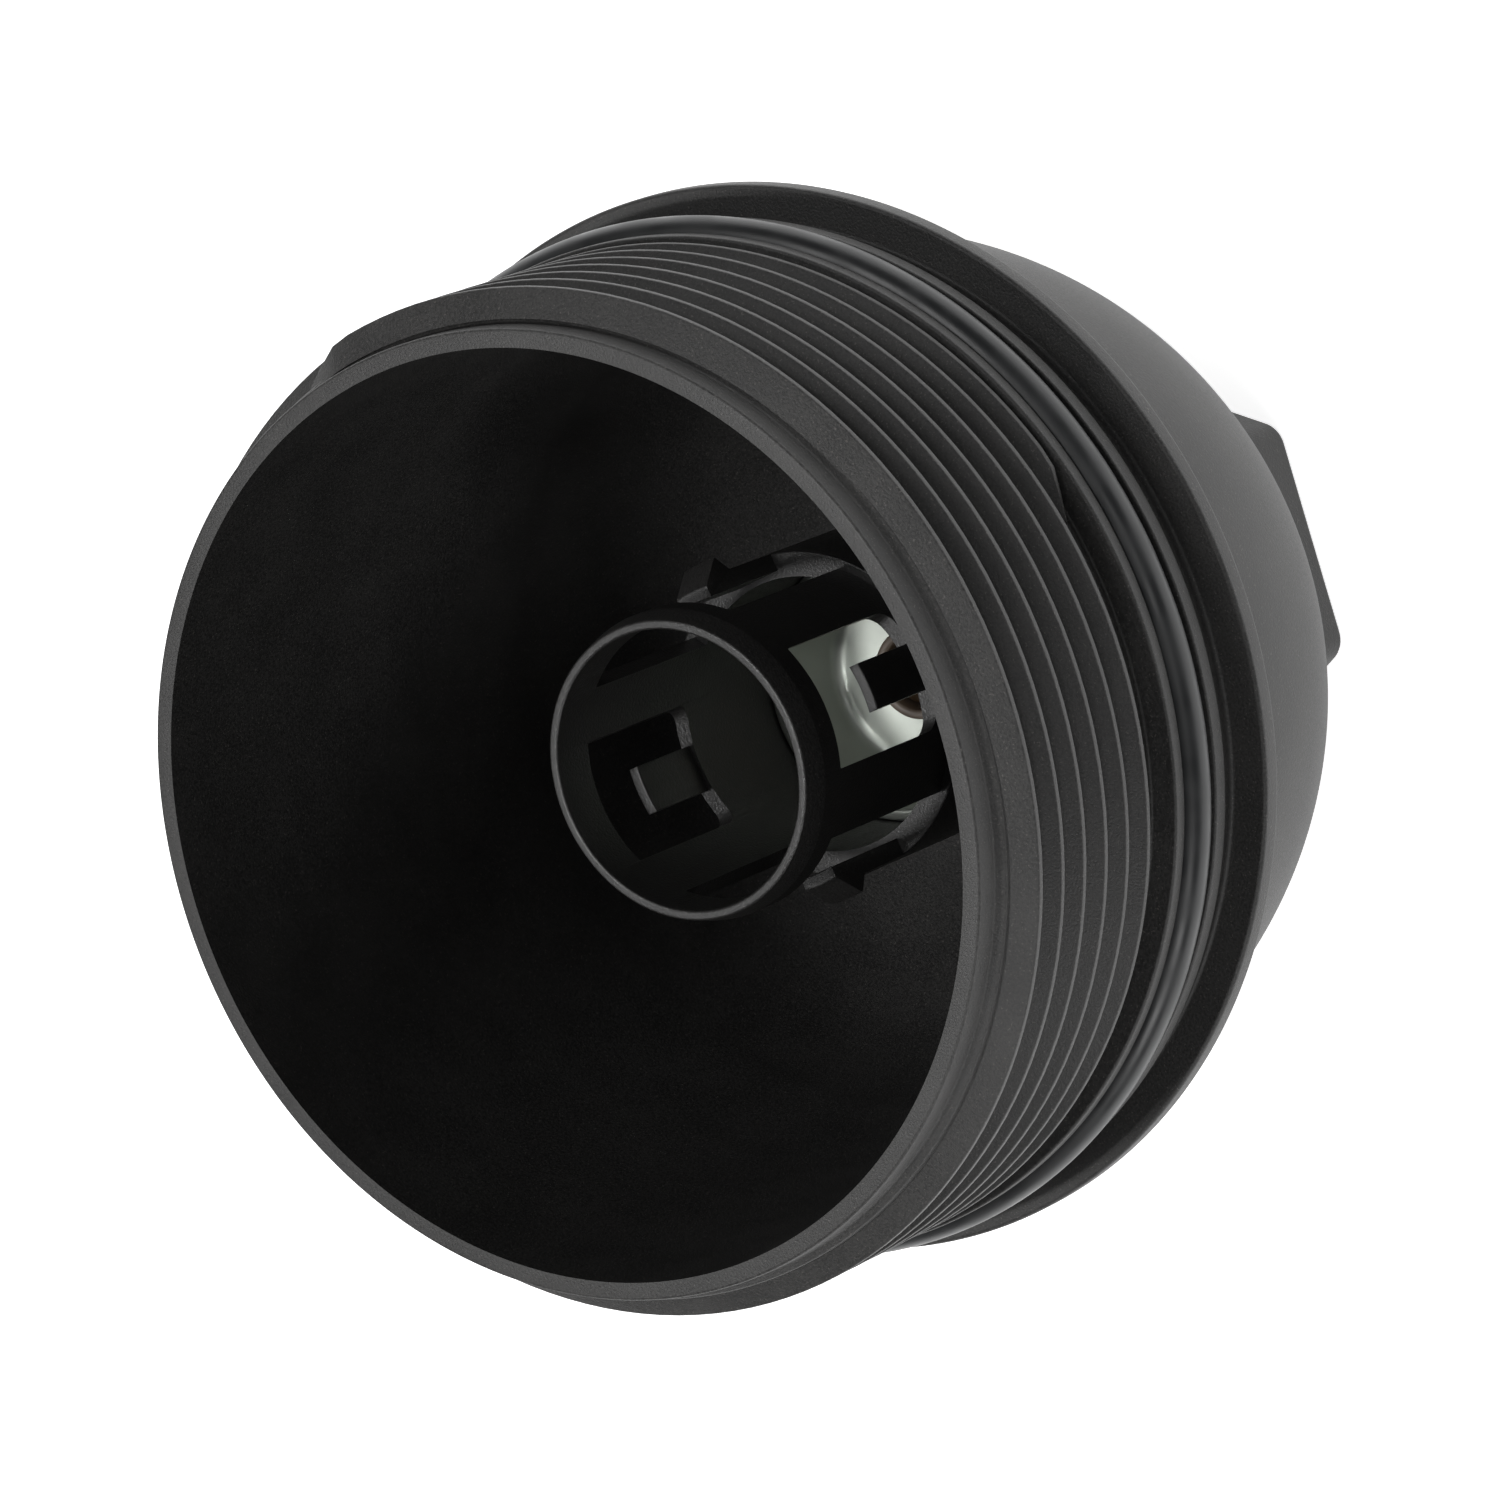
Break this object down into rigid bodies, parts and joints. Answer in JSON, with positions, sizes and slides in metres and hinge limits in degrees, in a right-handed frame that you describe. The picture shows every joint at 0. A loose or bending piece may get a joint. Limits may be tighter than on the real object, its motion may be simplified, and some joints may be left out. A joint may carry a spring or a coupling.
{
  "type": "oil filter housing cap",
  "caption": "Threaded black cap for a cartridge oil filter housing, with a domed hexagon end, sealing ring and a slotted standpipe with snap arms and a bypass valve.",
  "frame": {"origin": "centre of the hexagon's end face, on the cap's turning axis", "axes": "+Z along the turning axis towards the open mouth, X through the two snap arms, -Y through the front tongue window"},
  "size_m": [0.0832, 0.0832, 0.086],
  "materials": {
    "shell_nylon": "fine blasted black glass-filled nylon",
    "pipe_nylon": "satin black nylon",
    "seal_rubber": "smooth black rubber",
    "seat_rubber": "brown fluoro rubber",
    "plated_steel": "dull zinc plate",
    "valve_brass": "dull bronze",
    "spring_steel": "bright drawn wire"
  },
  "bodies": {
    "cap": {"cap_shell": "shell_nylon", "sealing_ring": "seal_rubber", "standpipe": "pipe_nylon", "foot_seal": "seal_rubber", "valve_cup": "plated_steel", "seat_seal": "seat_rubber", "valve_cage": "pipe_nylon", "valve_spring": "spring_steel"},
    "valve": {"valve_poppet": "valve_brass", "stem_clip": "spring_steel"},
    "arm_right": {"snap_arm_right": "pipe_nylon"},
    "arm_left": {"snap_arm_left": "pipe_nylon"},
    "tongue_front": {"latch_tongue_front": "pipe_nylon"},
    "tongue_rear": {"latch_tongue_rear": "pipe_nylon"}
  },
  "joints": [
    {"name": "bypass_valve_slide", "type": "slide", "parent": "cap", "child": "valve", "axis": [0, 0, -1], "range_m": [0, 0.0035], "stiffness_N_per_m": 1000, "springref_m": -0.006, "deforming": ["valve_spring"]},
    {"name": "arm_right_flex", "type": "hinge", "parent": "cap", "child": "arm_right", "pos_m": [0.01197, 0, 0.0508], "axis": [0, -1, 0], "range_deg": [0, 12], "stiffness_Nm_per_rad": 0.3},
    {"name": "arm_left_flex", "type": "hinge", "parent": "cap", "child": "arm_left", "pos_m": [-0.01197, 0, 0.0508], "axis": [0, 1, 0], "range_deg": [0, 12], "stiffness_Nm_per_rad": 0.3},
    {"name": "tongue_front_flex", "type": "hinge", "parent": "cap", "child": "tongue_front", "pos_m": [0, -0.01155, 0.0524], "axis": [-1, 0, 0], "range_deg": [0, 5], "stiffness_Nm_per_rad": 0.1},
    {"name": "tongue_rear_flex", "type": "hinge", "parent": "cap", "child": "tongue_rear", "pos_m": [0, 0.01155, 0.0524], "axis": [1, 0, 0], "range_deg": [0, 5], "stiffness_Nm_per_rad": 0.1}
  ]
}
